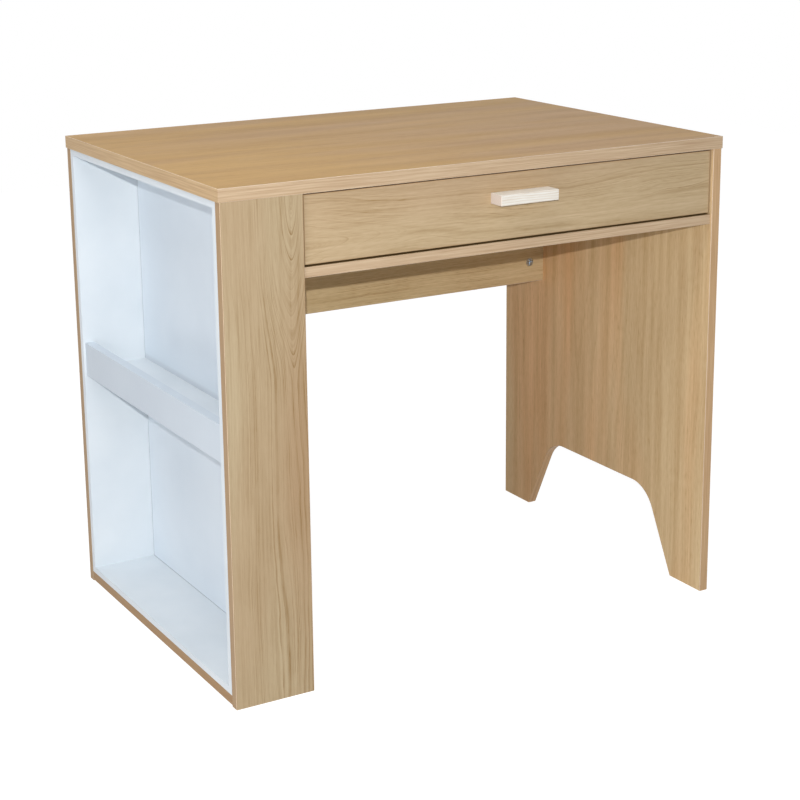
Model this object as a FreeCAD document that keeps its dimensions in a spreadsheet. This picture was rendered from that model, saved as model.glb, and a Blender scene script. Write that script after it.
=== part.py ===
import FreeCAD, Part
import os
import re
import Sketcher

# A flat-pack kneehole desk of woodgrain board: a narrow bookcase with a white lining stands at the
# left end and opens to the left, a side panel with an arched foot stands at the right, and one
# drawer on roller runners closes the bay under the top. Cam locks, bolts and dowels hold the boards.
# Millimetres. The origin is on the floor under the middle of the desk and its handle, +X to the
# right as one sits, +Y to the back and +Z up.

SIZES = (
    # Whole desk
    ("desk_width", 855),
    ("desk_depth", 580),
    ("desk_height", 750),
    # Boards
    ("top_thickness", 19),
    ("top_overhang", 2),
    ("board_thickness", 15),
    ("edge_band_thickness", 1),
    ("edge_band_bevel", 0.4),
    # Bookcase
    ("bookcase_width", 124),
    ("bottom_clearance", 2),
    ("lining_thickness", 10),
    ("back_lining_thickness", 3),
    ("bookcase_shelf_height", 360),
    ("bookcase_shelf_thickness", 15),
    ("lip_setback", 3.5),
    ("lip_thickness", 15),
    ("lip_height", 55),
    # Arched side panel
    ("foot_width", 79),
    ("arch_height", 139),
    ("arch_radius", 63),
    ("arch_slant_angle", 26.6),
    # Modesty panel and drawer bay
    ("modesty_height", 296),
    ("modesty_rear_gap", 104),
    ("drawer_bay_height", 102.5),
    ("drawer_shelf_setback", 3),
    # Drawer
    ("drawer_setback", 5),
    ("drawer_top_gap", 2),
    ("drawer_bottom_gap", 2.5),
    ("drawer_side_gap", 3),
    ("drawer_rear_gap", 41),
    ("drawer_headroom", 16),
    ("drawer_board_thickness", 12),
    ("drawer_bottom_thickness", 3),
    ("groove_height", 10),
    ("groove_depth", 6),
    ("groove_clearance", 0.1),
    # Handle
    ("handle_length", 100),
    ("handle_height", 16),
    ("handle_projection", 28),
    ("handle_drop", 35),
    ("handle_edge_radius", 1),
    ("handle_hole_spacing", 64),
    # Roller runners
    ("runner_space", 12.5),
    ("runner_gauge", 1),
    ("runner_depth", 10.5),
    ("runner_height", 18),
    ("runner_lift", 11.5),
    ("runner_front_gap", 2),
    ("roller_inset", 12),
    ("roller_width", 7),
    ("roller_gap", 0.3),
    ("roller_side_gap", 1),
    ("roller_relief_length", 30),
    ("roller_recess_depth", 1.5),
    ("roller_recess_margin", 0.5),
    ("ride_gap", 0.7),
    ("ride_flange_inset", 2.5),
    ("seat_height", 3),
    ("seat_flange", 10),
    ("axle_diameter", 4),
    ("axle_collar_diameter", 6),
    ("axle_head_diameter", 7),
    ("axle_head_thickness", 1),
    ("axle_end_gap", 0.3),
    ("running_clearance", 0.05),
    # Cam locks and their bolts
    ("cam_diameter", 15),
    ("cam_height", 12),
    ("drawer_cam_height", 9),
    ("cam_setback", 29),
    ("cam_slot_width", 2),
    ("cam_slot_length", 9),
    ("cam_slot_depth", 2),
    ("cam_mouth_clearance", 0.5),
    ("cam_mouth_room", 4),
    ("bolt_diameter", 6),
    ("bolt_thread_length", 9),
    ("bolt_neck_diameter", 4),
    ("bolt_neck_length", 5),
    ("bolt_head_length", 3),
    # Dowels
    ("dowel_diameter", 8),
    ("dowel_length", 28),
    ("dowel_mate_depth", 9),
    ("shelf_dowel_diameter", 6),
    ("shelf_dowel_length", 20),
    ("shelf_dowel_mate_depth", 6),
    # Screws
    ("runner_screw_diameter", 3.5),
    ("runner_screw_length", 10),
    ("runner_screw_head_diameter", 6),
    ("runner_screw_head_height", 1.2),
    ("handle_screw_diameter", 4),
    ("handle_screw_grip", 14),
    ("handle_screw_head_diameter", 8),
    ("handle_screw_head_height", 2.5),
    ("box_screw_diameter", 4),
    ("box_screw_length", 35),
    ("box_screw_head_diameter", 8),
    ("box_screw_head_height", 2),
    # Fits
    ("fastener_clearance", 0.1),
    ("hole_end_gap", 0.5),
    ("cut_overrun", 1),
    # Places of the fasteners, as shares of the edge that carries them
    ("near_cam_share", 0.2),
    ("far_cam_share", 0.8),
    ("dowel_share", 0.5),
    ("case_cam_share", 0.35),
    ("case_dowel_share", 0.75),
    ("modesty_low_cam_share", 0.12),
    ("modesty_high_cam_share", 0.88),
    ("drawer_cam_share", 0.66),
    ("drawer_dowel_share", 0.36),
    ("runner_front_screw_share", 0.12),
    ("runner_middle_screw_share", 0.5),
    ("runner_rear_screw_share", 0.88),
    ("box_low_screw_share", 0.45),
    ("box_high_screw_share", 0.85),
)

PLACES = {
    # Carcass
    "top_left": "-desk_width / 2",
    "top_right": "desk_width / 2",
    "front_face": "(handle_projection - drawer_setback - desk_depth) / 2",
    "rear_face": "front_face + desk_depth",
    "carcass_left": "top_left + top_overhang",
    "carcass_right": "top_right - top_overhang",
    "carcass_top": "desk_height - top_thickness",
    # Bookcase, from its outer boards inwards
    "case_right": "carcass_left + bookcase_width",
    "divider_left": "case_right - board_thickness",
    "inside_back": "divider_left - back_lining_thickness",
    "case_front": "front_face + board_thickness",
    "case_rear": "rear_face - board_thickness",
    "inside_front": "case_front + lining_thickness",
    "inside_rear": "case_rear - lining_thickness",
    "case_floor": "bottom_clearance + board_thickness",
    "inside_floor": "case_floor + lining_thickness",
    "inside_ceiling": "carcass_top - lining_thickness",
    "lip_front": "carcass_left + lip_setback",
    "lip_back": "lip_front + lip_thickness",
    # Drawer bay
    "bay_left": "case_right",
    "bay_right": "carcass_right - board_thickness",
    "bay_middle": "(bay_left + bay_right) / 2",
    "bay_floor": "carcass_top - drawer_bay_height",
    "shelf_front": "front_face + drawer_shelf_setback",
    "modesty_rear": "rear_face - modesty_rear_gap",
    "modesty_front": "modesty_rear - board_thickness",
    "modesty_bottom": "carcass_top - modesty_height",
    # Drawer
    "drawer_face": "front_face + drawer_setback",
    "box_front": "drawer_face + board_thickness",
    "runner_length": "modesty_front - drawer_rear_gap - box_front",
    "box_rear": "box_front + runner_length",
    "box_left": "bay_left + runner_space",
    "box_right": "bay_right - runner_space",
    "box_inner_left": "box_left + drawer_board_thickness",
    "box_inner_right": "box_right - drawer_board_thickness",
    "box_inner_rear": "box_rear - drawer_board_thickness",
    "runner_floor": "bay_floor + runner_lift",
    "box_floor": "runner_floor + seat_height",
    "box_top": "carcass_top - drawer_headroom",
    "groove_floor": "box_floor + groove_height",
    "groove_width": "drawer_bottom_thickness + 2 * groove_clearance",
    "front_left": "bay_left + drawer_side_gap",
    "front_right": "bay_right - drawer_side_gap",
    "front_bottom": "bay_floor + drawer_bottom_gap",
    "front_top": "carcass_top - drawer_top_gap",
    "handle_middle": "front_top - handle_drop",
    # Runners, from the wall and the floor of the cabinet channel
    "ride_floor": "runner_height + ride_gap",
    "roller_radius": "runner_height / 2 - runner_gauge - roller_gap",
    "drawer_roller_height": "runner_height / 2",
    "cabinet_roller_height": "ride_floor - roller_gap - roller_radius",
    "cabinet_runner_front": "box_front + runner_front_gap",
    "cabinet_roller_face": "runner_gauge + roller_side_gap",
    "drawer_roller_face": "runner_space - runner_gauge - roller_side_gap",
    "axle_radius": "axle_diameter / 2",
    "bore_radius": "axle_radius + running_clearance",
    "recess_radius": "axle_head_diameter / 2 + roller_recess_margin",
    # Fasteners
    "bolt_bore": "bolt_diameter + 2 * fastener_clearance",
    "cam_bore": "cam_diameter + 2 * fastener_clearance",
}

SIZE_NAMES = {name for name, _ in SIZES}
AXES = "XYZ"
PLANES = {"X": "YZ_Plane", "Y": "XZ_Plane", "Z": "XY_Plane"}

doc = FreeCAD.newDocument("kneehole_desk")
sheet = doc.addObject("Spreadsheet::Sheet", "Sizes")
for row, (name, number) in enumerate(SIZES, start=1):
    sheet.set(f"A{row}", name)
    sheet.set(f"B{row}", str(number))
    sheet.setAlias(f"B{row}", name)
doc.recompute()


def ex(formula):
    """Formula in size and place names, as an expression on the sheet."""

    def swap(match):
        word = match.group()
        if word in PLACES:
            return f"({ex(PLACES[word])})"
        return f"Sizes.{word}" if word in SIZE_NAMES else word

    return re.sub(r"[a-z]\w*", swap, formula)


def value(formula):
    """Present value of a formula."""
    return float(sheet.evalExpression(ex(formula)))


def bind(item, path, formula):
    """Tie one property of an object to a formula."""
    item.setExpression(path, ex(formula))


def place(item, point, turn=FreeCAD.Rotation()):
    """Turn an object and tie its place to three formulas."""
    item.Placement = FreeCAD.Placement(FreeCAD.Vector(), turn)
    for axis, formula in zip("xyz", point):
        bind(item, f"Placement.Base.{axis}", formula)


def direction(face):
    """Unit vector of a face name such as +X."""
    sign = 1 if face[0] == "+" else -1
    return FreeCAD.Vector(*[sign * (axis == face[1]) for axis in AXES])


def opposite(face):
    """Name of the face across."""
    return ("-" if face[0] == "+" else "+") + face[1]


def across(face):
    """Numbers of the two axes that lie in a face."""
    return [number for number, axis in enumerate(AXES) if axis != face[1]]


def turned(along, up):
    """Rotation that lays local X along one face direction and local Z along another."""
    x_axis = direction(along)
    z_axis = direction(up)
    return FreeCAD.Rotation(x_axis, z_axis.cross(x_axis), z_axis, "XZY")


def new_body(label):
    """Empty body under its own label."""
    body = doc.addObject("PartDesign::Body", label)
    body.Label = label
    return body


def new_sketch(body, role, offset="0"):
    """Sketch on one of the body's own origin planes, moved along the plane's normal."""
    sketch = body.newObject("Sketcher::SketchObject", body.Label + "_sketch")
    plane = next(item for item in body.Origin.OriginFeatures if item.Role == role)
    sketch.AttachmentSupport = [(plane, "")]
    sketch.MapMode = "FlatFace"
    bind(sketch, "AttachmentOffset.Base.z", offset)
    return sketch


def dimension(sketch, kind, *refs, formula):
    """Driving dimension of a sketch, tied to a formula."""
    index = sketch.addConstraint(Sketcher.Constraint(kind, *refs, value(formula)))
    bind(sketch, f"Constraints[{index}]", formula)


def pin_point(sketch, geometry, end, point):
    """Hold one point of a sketch at two formulas from the sketch's origin."""
    dimension(sketch, "DistanceX", -1, 1, geometry, end, formula=point[0])
    dimension(sketch, "DistanceY", -1, 1, geometry, end, formula=point[1])


def outline(sketch, points):
    """Closed outline of straight lines through points given as pairs of formulas."""
    corners = [FreeCAD.Vector(value(u), value(v), 0) for u, v in points]
    first = sketch.GeometryCount
    for start, end in zip(corners, corners[1:] + corners[:1]):
        sketch.addGeometry(Part.LineSegment(start, end))
    for index, point in enumerate(points):
        before = first + (index - 1) % len(points)
        sketch.addConstraint(Sketcher.Constraint("Coincident", before, 2, first + index, 1))
        pin_point(sketch, first + index, 1, point)


def rectangle(u, v):
    """Corners of a rectangle between two pairs of formulas."""
    return [(u[0], v[0]), (u[1], v[0]), (u[1], v[1]), (u[0], v[1])]


def circle(sketch, centre, diameter):
    """Circle with its centre and diameter tied to formulas."""
    middle = FreeCAD.Vector(value(centre[0]), value(centre[1]), 0)
    index = sketch.addGeometry(Part.Circle(middle, FreeCAD.Vector(0, 0, 1), value(diameter) / 2))
    pin_point(sketch, index, 3, centre)
    dimension(sketch, "Diameter", index, formula=diameter)


def pad(body, sketch, length, backwards=False):
    """Pad of a sketch, against the plane's normal where backwards."""
    feature = body.newObject("PartDesign::Pad", body.Label + "_pad")
    feature.Profile = sketch
    feature.Reversed = backwards
    bind(feature, "Length", length)
    doc.recompute()
    return feature


def pocket(body, sketch, depth, backwards):
    """Pocket of a sketch. It cuts against the plane's normal, or along it where backwards."""
    feature = body.newObject("PartDesign::Pocket", body.Label + "_pocket")
    feature.Profile = sketch
    feature.Reversed = backwards
    bind(feature, "Length", depth)
    doc.recompute()
    if feature.Shape.isNull() or feature.Shape.Volume >= feature.BaseFeature.Shape.Volume:
        raise ValueError(f"{feature.Label} cuts nothing")
    return feature


def revolve(label, points):
    """Body turned about its own X axis from an outline of distances along X and radii."""
    body = new_body(label)
    sketch = new_sketch(body, "XZ_Plane")
    outline(sketch, points)
    feature = body.newObject("PartDesign::Revolution", label + "_revolution")
    feature.Profile = sketch
    feature.ReferenceAxis = (sketch, ["H_Axis"])
    doc.recompute()
    return body


class Board:
    """A rectangular board with its edges along the axes, cut and drilled square to its faces."""

    def __init__(self, label, x, y, z):
        self.spans = (x, y, z)
        self.body = new_body(label)
        sketch = new_sketch(self.body, "XY_Plane")
        outline(sketch, rectangle(("0", self.size(0)), ("0", self.size(1))))
        pad(self.body, sketch, self.size(2))
        place(self.body, (x[0], y[0], z[0]))
        self.holes = {}

    def size(self, axis):
        """Length of the board along an axis."""
        low, high = self.spans[axis]
        return f"({high}) - ({low})"

    def end(self, face):
        """Place of a face along its own axis."""
        return self.spans[AXES.index(face[1])][face[0] == "+"]

    def middle(self, axis):
        """Place halfway through the board along an axis."""
        low, high = self.spans[axis]
        return f"(({low}) + ({high})) / 2"

    def share(self, axis, name):
        """Place at a share of the board's length along an axis."""
        return f"({self.spans[axis][0]}) + ({self.size(axis)}) * {name}"

    def local(self, axis, formula):
        """Distance of a place from the board's own corner along an axis."""
        return f"({formula}) - ({self.spans[axis][0]})"

    def face_sketch(self, face):
        """Sketch on a face, with the direction in which a pocket enters the board."""
        axis = AXES.index(face[1])
        high = face[0] == "+"
        # The normal of the XZ plane points to the front, so its offset and direction turn over.
        flipped = face[1] == "Y"
        offset = "0"
        if high:
            offset = f"-({self.size(axis)})" if flipped else self.size(axis)
        return new_sketch(self.body, PLANES[face[1]], offset), high == flipped

    def drill(self, face, point, diameter, depth):
        """Note a round hole from a face. Holes of one drill and depth share a pocket."""
        centre = [self.local(axis, point[axis]) for axis in across(face)]
        self.holes.setdefault((face, diameter, depth), []).append(centre)

    def groove(self, face, first, second, depth):
        """Cut a rectangular groove into a face between two pairs of places."""
        sketch, backwards = self.face_sketch(face)
        sides = zip(across(face), (first, second))
        spans = [[self.local(axis, formula) for formula in span] for axis, span in sides]
        outline(sketch, rectangle(*spans))
        pocket(self.body, sketch, depth, backwards)

    def bore_holes(self):
        """Cut the holes that were noted."""
        for (face, diameter, depth), centres in self.holes.items():
            sketch, backwards = self.face_sketch(face)
            for centre in centres:
                circle(sketch, centre, diameter)
            pocket(self.body, sketch, depth, backwards)


class Fasteners:
    """Identical fasteners: one pattern piece and the places where it is driven in."""

    def __init__(self, label, pattern):
        self.label = label
        self.pattern = pattern
        self.links = []

    def add(self, point, turn):
        """Put one fastener at a place."""
        link = doc.addObject("App::Link", f"{self.label}_{len(self.links) + 1}")
        link.LinkedObject = self.pattern
        place(link, point, turn)
        self.links.append(link)

    def gather(self):
        """One group of all the fasteners."""
        return group(self.label, self.links)


def group(label, members):
    """Separate solids under one label."""
    compound = doc.addObject("Part::Compound", label)
    compound.Label = label
    compound.Links = members
    return compound


def dress_edges(body, kind, measure, formula, chosen):
    """Fillet or chamfer of the body's edges that pass a test."""
    base = body.Tip
    numbered = enumerate(base.Shape.Edges, start=1)
    edges = [f"Edge{number}" for number, edge in numbered if chosen(edge)]
    feature = body.newObject(f"PartDesign::{kind}", f"{body.Label}_{kind.lower()}")
    feature.Base = (base, edges)
    bind(feature, measure, formula)
    doc.recompute()


def edge_band(label, x, y, z, outward):
    """Strip of edge band, with the two long edges of its outer face bevelled."""
    strip = Board(label, x, y, z)
    axis = AXES.index(outward[1])
    level = value(strip.size(axis)) if outward[0] == "+" else 0
    longest = max(edge.Length for edge in strip.body.Tip.Shape.Edges)
    tolerance = value("edge_band_bevel") / 2

    def outer_long(edge):
        on_face = all(abs(vertex.Point[axis] - level) < tolerance for vertex in edge.Vertexes)
        return on_face and edge.Length > longest - tolerance

    dress_edges(strip.body, "Chamfer", "Size", "edge_band_bevel", outer_long)
    return strip.body


def cam_pattern(label, height, bolt_depth):
    """Cam lock: a disc with a crossed driver slot and a mouth for the bolt's head, opening to +X."""
    body = new_body(label)
    disc = new_sketch(body, "XY_Plane")
    circle(disc, ("0", "0"), "cam_diameter")
    pad(body, disc, height, backwards=True)
    mouth = new_sketch(body, "YZ_Plane", "-cam_mouth_room")
    reach = "bolt_diameter / 2 + cam_mouth_clearance"
    width = (f"-({reach})", reach)
    height_span = (f"-({bolt_depth}) - ({reach})", f"-({bolt_depth}) + {reach}")
    outline(mouth, rectangle(width, height_span))
    pocket(body, mouth, "cam_mouth_room + cam_diameter", backwards=True)
    long, wide = "cam_slot_length / 2", "cam_slot_width / 2"
    for half_length, half_width in ((long, wide), (wide, long)):
        slot = new_sketch(body, "XY_Plane")
        u = (f"-{half_length}", half_length)
        v = (f"-{half_width}", half_width)
        outline(slot, rectangle(u, v))
        pocket(body, slot, "cam_slot_depth", backwards=False)
    return body


def bolt_pattern(label):
    """Cam bolt along X: its thread goes into the mating board, its head into the cam."""
    thread = "bolt_diameter / 2"
    neck = "bolt_neck_diameter / 2"
    head_start = "bolt_head_length / 2 - cam_setback"
    neck_start = f"{head_start} + bolt_neck_length"
    head_end = "-bolt_head_length / 2 - cam_setback"
    return revolve(label, [
        ("bolt_thread_length", "0"), ("bolt_thread_length", thread), (neck_start, thread),
        (neck_start, neck), (head_start, neck), (head_start, thread), (head_end, thread),
        (head_end, "0"),
    ])


def dowel_pattern(label, diameter, length, mate_depth):
    """Plain dowel along X, seated on both sides of the joint at X zero."""
    radius = f"{diameter} / 2"
    tail = f"{mate_depth} - {length}"
    return revolve(label, [(tail, "0"), (tail, radius), (mate_depth, radius), (mate_depth, "0")])


def screw_pattern(label, diameter, length, head_diameter, head_height):
    """Screw along X with a tapered head behind X zero and a pointed end."""
    shank = f"{diameter} / 2"
    head = f"{head_diameter} / 2"
    tip = f"{length} - {diameter}"
    return revolve(label, [
        (f"-{head_height}", "0"), (f"-{head_height}", shank), ("0", head), ("0", shank),
        (tip, shank), (length, "0"),
    ])


class CamKit:
    """Cam locks and bolts of one size, with the depth of the bore that the lock sits in."""

    def __init__(self, prefix, height, bolt_depth):
        cam = cam_pattern(prefix + "cam_pattern", height, bolt_depth)
        bolt = bolt_pattern(prefix + "bolt_pattern")
        self.cams = Fasteners(prefix + "cam_locks", cam)
        self.bolts = Fasteners(prefix + "cam_bolts", bolt)
        self.bore_depth = f"{height} + hole_end_gap"

    def join(self, host, mate, towards, cam_face, along):
        """Lock the host's end to the mate, with the cam in one face of the host."""
        run = AXES.index(towards[1])
        through = AXES.index(cam_face[1])
        axis = [along] * 3
        axis[run] = host.end(towards)
        axis[through] = host.middle(through)
        centre = list(axis)
        centre[run] = f"({axis[run]}) {'-' if towards[0] == '+' else '+'} cam_setback"
        centre[through] = host.end(cam_face)
        host.drill(cam_face, centre, "cam_bore", self.bore_depth)
        host.drill(towards, axis, "bolt_bore", "cam_setback")
        mate.drill(opposite(towards), axis, "bolt_bore", "bolt_thread_length + hole_end_gap")
        turn = turned(towards, cam_face)
        self.cams.add(centre, turn)
        self.bolts.add(axis, turn)


class DowelKit:
    """Dowels of one size, with the holes that they need."""

    def __init__(self, label, diameter, length, mate_depth):
        self.dowels = Fasteners(label, dowel_pattern(label + "_pattern", diameter, length, mate_depth))
        self.bore = f"{diameter} + 2 * fastener_clearance"
        self.host_depth = f"{length} - {mate_depth} + hole_end_gap"
        self.mate_depth = f"{mate_depth} + hole_end_gap"

    def join(self, host, mate, towards, point):
        """Peg the host's end to the mate. The place along the joint's own axis is the host's end."""
        axis = list(point)
        axis[AXES.index(towards[1])] = host.end(towards)
        host.drill(towards, axis, self.bore, self.host_depth)
        mate.drill(opposite(towards), axis, self.bore, self.mate_depth)
        up = "+Z" if towards[1] != "Z" else "+X"
        self.dowels.add(axis, turned(towards, up))


def arc_middle(start, end, radius):
    """Point halfway along an arc that bulges up between two points."""
    chord = end - start
    sagitta = radius - (radius**2 - (chord.Length / 2) ** 2) ** 0.5
    across = FreeCAD.Vector(-chord.y, chord.x, 0).normalize()
    return (start + end) / 2 + across * sagitta


def meeting_ends(sketch, first, second):
    """End numbers at which one line or arc of a sketch meets another."""
    pairs = [(a, b) for a in (1, 2) for b in (1, 2)]

    def spread(pair):
        return (sketch.getPoint(first, pair[0]) - sketch.getPoint(second, pair[1])).Length

    return min(pairs, key=spread)


def arch_outline(sketch, offset):
    """Open outline of the arch, as five joined lines and arcs, which lies outside it by the offset.

    Local X runs from the desk's front edge and local Y up. The sides slant and the crown is level.
    """
    foot = f"foot_width - ({offset}) / cos(arch_slant_angle)"
    crown = f"arch_height + ({offset})"
    radius = f"arch_radius + ({offset})"
    reach = f"({radius}) * tan(45 - arch_slant_angle / 2)"
    shoulder = f"{foot} + ({crown}) * tan(arch_slant_angle)"
    spring = f"{shoulder} - ({reach}) * sin(arch_slant_angle)"
    spring_height = f"{crown} - ({reach}) * cos(arch_slant_angle)"
    front_half = [(foot, "0"), (spring, spring_height), (f"{shoulder} + {reach}", crown)]
    rear_half = [(f"desk_depth - ({u})", v) for u, v in reversed(front_half)]
    points = front_half + rear_half
    spots = [FreeCAD.Vector(value(u), value(v), 0) for u, v in points]
    first = sketch.GeometryCount
    last = first + len(points) - 2
    arcs = (first + 1, last - 1)
    for index, (start, end) in enumerate(zip(spots, spots[1:]), start=first):
        if index in arcs:
            sketch.addGeometry(Part.Arc(start, arc_middle(start, end, value(radius)), end))
            dimension(sketch, "Radius", index, formula=radius)
        else:
            sketch.addGeometry(Part.LineSegment(start, end))
    for index in range(first, last):
        one, other = meeting_ends(sketch, index, index + 1)
        sketch.addConstraint(Sketcher.Constraint("Tangent", index, one, index + 1, other))
    sketch.addConstraint(Sketcher.Constraint("Horizontal", first + 2))
    sketch.addConstraint(Sketcher.Constraint("Equal", first, last))
    pin_point(sketch, first, 1, points[0])
    pin_point(sketch, last, 2, points[-1])
    dimension(sketch, "DistanceY", -1, 1, first + 2, 1, formula=crown)
    dimension(sketch, "Angle", first, formula="90 - arch_slant_angle")
    return first, last


def close_between(sketch, one, one_end, other, other_end):
    """Straight line from an end of one piece of a sketch to an end of another."""
    ends = sketch.getPoint(one, one_end), sketch.getPoint(other, other_end)
    line = sketch.addGeometry(Part.LineSegment(*ends))
    sketch.addConstraint(Sketcher.Constraint("Coincident", one, one_end, line, 1))
    sketch.addConstraint(Sketcher.Constraint("Coincident", line, 2, other, other_end))


# Carcass boards
top = Board(
    "desk_top",
    ("top_left + edge_band_thickness", "top_right - edge_band_thickness"),
    ("front_face + edge_band_thickness", "rear_face - edge_band_thickness"),
    ("carcass_top", "desk_height"),
)
case_width = ("carcass_left + edge_band_thickness", "case_right - edge_band_thickness")
front_panel = Board("bookcase_front_panel", case_width, ("front_face", "case_front"), ("0", "carcass_top"))
rear_panel = Board("bookcase_rear_panel", case_width, ("case_rear", "rear_face"), ("0", "carcass_top"))
case_depth = ("case_front", "case_rear")
bottom_panel = Board(
    "bookcase_bottom_panel",
    ("carcass_left + edge_band_thickness", "divider_left"),
    case_depth,
    ("bottom_clearance", "case_floor"),
)
divider = Board(
    "bookcase_divider",
    ("divider_left", "case_right"),
    case_depth,
    ("bottom_clearance", "carcass_top"),
)
bay_width = ("bay_left", "bay_right")
drawer_shelf = Board(
    "drawer_shelf",
    bay_width,
    ("shelf_front + edge_band_thickness", "modesty_front"),
    ("bay_floor - board_thickness", "bay_floor"),
)
modesty_panel = Board(
    "modesty_panel",
    bay_width,
    ("modesty_front", "modesty_rear"),
    ("modesty_bottom + edge_band_thickness", "carcass_top"),
)
side_panel = Board(
    "right_side_panel",
    ("bay_right", "carcass_right"),
    ("front_face + edge_band_thickness", "rear_face - edge_band_thickness"),
    ("0", "carcass_top"),
)
arch = new_sketch(side_panel.body, "YZ_Plane")
bind(arch, "AttachmentOffset.Base.x", "-edge_band_thickness")
arch_first, arch_last = arch_outline(arch, "edge_band_thickness")
close_between(arch, arch_last, 2, arch_first, 1)
pocket(side_panel.body, arch, side_panel.size(0), backwards=True)

# White lining of the bookcase
lining_reach = ("carcass_left", "inside_back")
inside_depth = ("inside_front", "inside_rear")
lining_height = ("case_floor", "carcass_top")
back_lining = Board("back_lining", ("inside_back", "divider_left"), case_depth, lining_height)
lining_front = Board("lining_front", lining_reach, ("case_front", "inside_front"), lining_height)
lining_rear = Board("lining_rear", lining_reach, ("inside_rear", "case_rear"), lining_height)
lining_bottom = Board("lining_bottom", lining_reach, inside_depth, ("case_floor", "inside_floor"))
lining_top = Board("lining_top", lining_reach, inside_depth, ("inside_ceiling", "carcass_top"))
bookcase_shelf = Board(
    "bookcase_shelf",
    ("lip_back", "inside_back"),
    inside_depth,
    ("bookcase_shelf_height", "bookcase_shelf_height + bookcase_shelf_thickness"),
)
shelf_lip = Board(
    "bookcase_shelf_lip",
    ("lip_front", "lip_back"),
    inside_depth,
    ("bookcase_shelf_height", "bookcase_shelf_height + lip_height"),
)

# Drawer box
drawer_front = Board(
    "drawer_front",
    ("front_left + edge_band_thickness", "front_right - edge_band_thickness"),
    ("drawer_face", "box_front"),
    ("front_bottom + edge_band_thickness", "front_top - edge_band_thickness"),
)
box_height = ("box_floor", "box_top")
box_length = ("box_front", "box_rear")
drawer_side_left = Board("drawer_side_left", ("box_left", "box_inner_left"), box_length, box_height)
drawer_side_right = Board("drawer_side_right", ("box_inner_right", "box_right"), box_length, box_height)
box_inner_width = ("box_inner_left", "box_inner_right")
drawer_back = Board("drawer_back", box_inner_width, ("box_inner_rear", "box_rear"), box_height)
slack = "groove_depth - groove_clearance"
drawer_bottom = Board(
    "drawer_bottom",
    (f"box_inner_left - ({slack})", f"box_inner_right + {slack}"),
    (f"box_front - ({slack})", f"box_inner_rear + {slack}"),
    ("groove_floor + groove_clearance", "groove_floor + groove_width - groove_clearance"),
)
groove_rise = ("groove_floor", "groove_floor + groove_width")
groove_run = ("box_inner_left - groove_depth", "box_inner_right + groove_depth")
drawer_front.groove("+Y", groove_run, groove_rise, "groove_depth")
drawer_back.groove("-Y", box_inner_width, groove_rise, "groove_depth")
drawer_side_left.groove("+X", box_length, groove_rise, "groove_depth")
drawer_side_right.groove("-X", box_length, groove_rise, "groove_depth")

# Handle: a plain wooden bar with its front and long edges eased
handle = Board(
    "drawer_handle",
    ("bay_middle - handle_length / 2", "bay_middle + handle_length / 2"),
    ("drawer_face - handle_projection", "drawer_face"),
    ("handle_middle - handle_height / 2", "handle_middle + handle_height / 2"),
)
handle_half = value("handle_projection") / 2
dress_edges(
    handle.body,
    "Fillet",
    "Radius",
    "handle_edge_radius",
    lambda edge: min(vertex.Y for vertex in edge.Vertexes) < handle_half,
)
handle_holes = [
    (f"bay_middle {sign} handle_hole_spacing / 2", "drawer_face", "handle_middle") for sign in "-+"
]

# Cam locks, bolts and dowels
cams = CamKit("", "cam_height", "board_thickness / 2")
drawer_cams = CamKit("drawer_", "drawer_cam_height", "drawer_board_thickness / 2")
dowels = DowelKit("wood_dowels", "dowel_diameter", "dowel_length", "dowel_mate_depth")
drawer_dowels = DowelKit("drawer_dowels", "dowel_diameter", "dowel_length", "dowel_mate_depth")
shelf_dowels = DowelKit(
    "shelf_dowels", "shelf_dowel_diameter", "shelf_dowel_length", "shelf_dowel_mate_depth"
)
for wall, towards in ((divider, "-X"), (side_panel, "+X")):
    for name in ("near_cam_share", "far_cam_share"):
        cams.join(drawer_shelf, wall, towards, "-Z", drawer_shelf.share(1, name))
        cams.join(wall, top, "+Z", opposite(towards), drawer_shelf.share(1, name))
    for name in ("modesty_low_cam_share", "modesty_high_cam_share"):
        cams.join(modesty_panel, wall, towards, "-Y", modesty_panel.share(2, name))
    shelf_peg = ("0", drawer_shelf.share(1, "dowel_share"), drawer_shelf.middle(2))
    dowels.join(drawer_shelf, wall, towards, shelf_peg)
    modesty_peg = ("0", modesty_panel.middle(1), modesty_panel.share(2, "dowel_share"))
    dowels.join(modesty_panel, wall, towards, modesty_peg)
    dowels.join(wall, top, "+Z", (wall.middle(0), drawer_shelf.share(1, "dowel_share"), "0"))
for name in ("near_cam_share", "far_cam_share"):
    cams.join(modesty_panel, top, "+Z", "+Y", modesty_panel.share(0, name))
    shelf_peg = (drawer_shelf.share(0, name), "0", drawer_shelf.middle(2))
    dowels.join(drawer_shelf, modesty_panel, "+Y", shelf_peg)
for panel, towards in ((front_panel, "-Y"), (rear_panel, "+Y")):
    cams.join(bottom_panel, panel, towards, "-Z", bottom_panel.share(0, "case_cam_share"))
    peg = (bottom_panel.share(0, "case_dowel_share"), "0", bottom_panel.middle(2))
    dowels.join(bottom_panel, panel, towards, peg)
    for name in ("near_cam_share", "far_cam_share"):
        cams.join(divider, panel, towards, "-X", divider.share(2, name))
    dowels.join(divider, panel, towards, (divider.middle(0), "0", divider.share(2, "dowel_share")))
for lining, towards in ((lining_front, "-Y"), (lining_rear, "+Y")):
    for name in ("case_cam_share", "case_dowel_share"):
        peg = (bookcase_shelf.share(0, name), "0", bookcase_shelf.middle(2))
        shelf_dowels.join(bookcase_shelf, lining, towards, peg)
for name in ("near_cam_share", "dowel_share", "far_cam_share"):
    peg = ("0", bookcase_shelf.share(1, name), bookcase_shelf.middle(2))
    shelf_dowels.join(bookcase_shelf, shelf_lip, "-X", peg)
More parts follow.
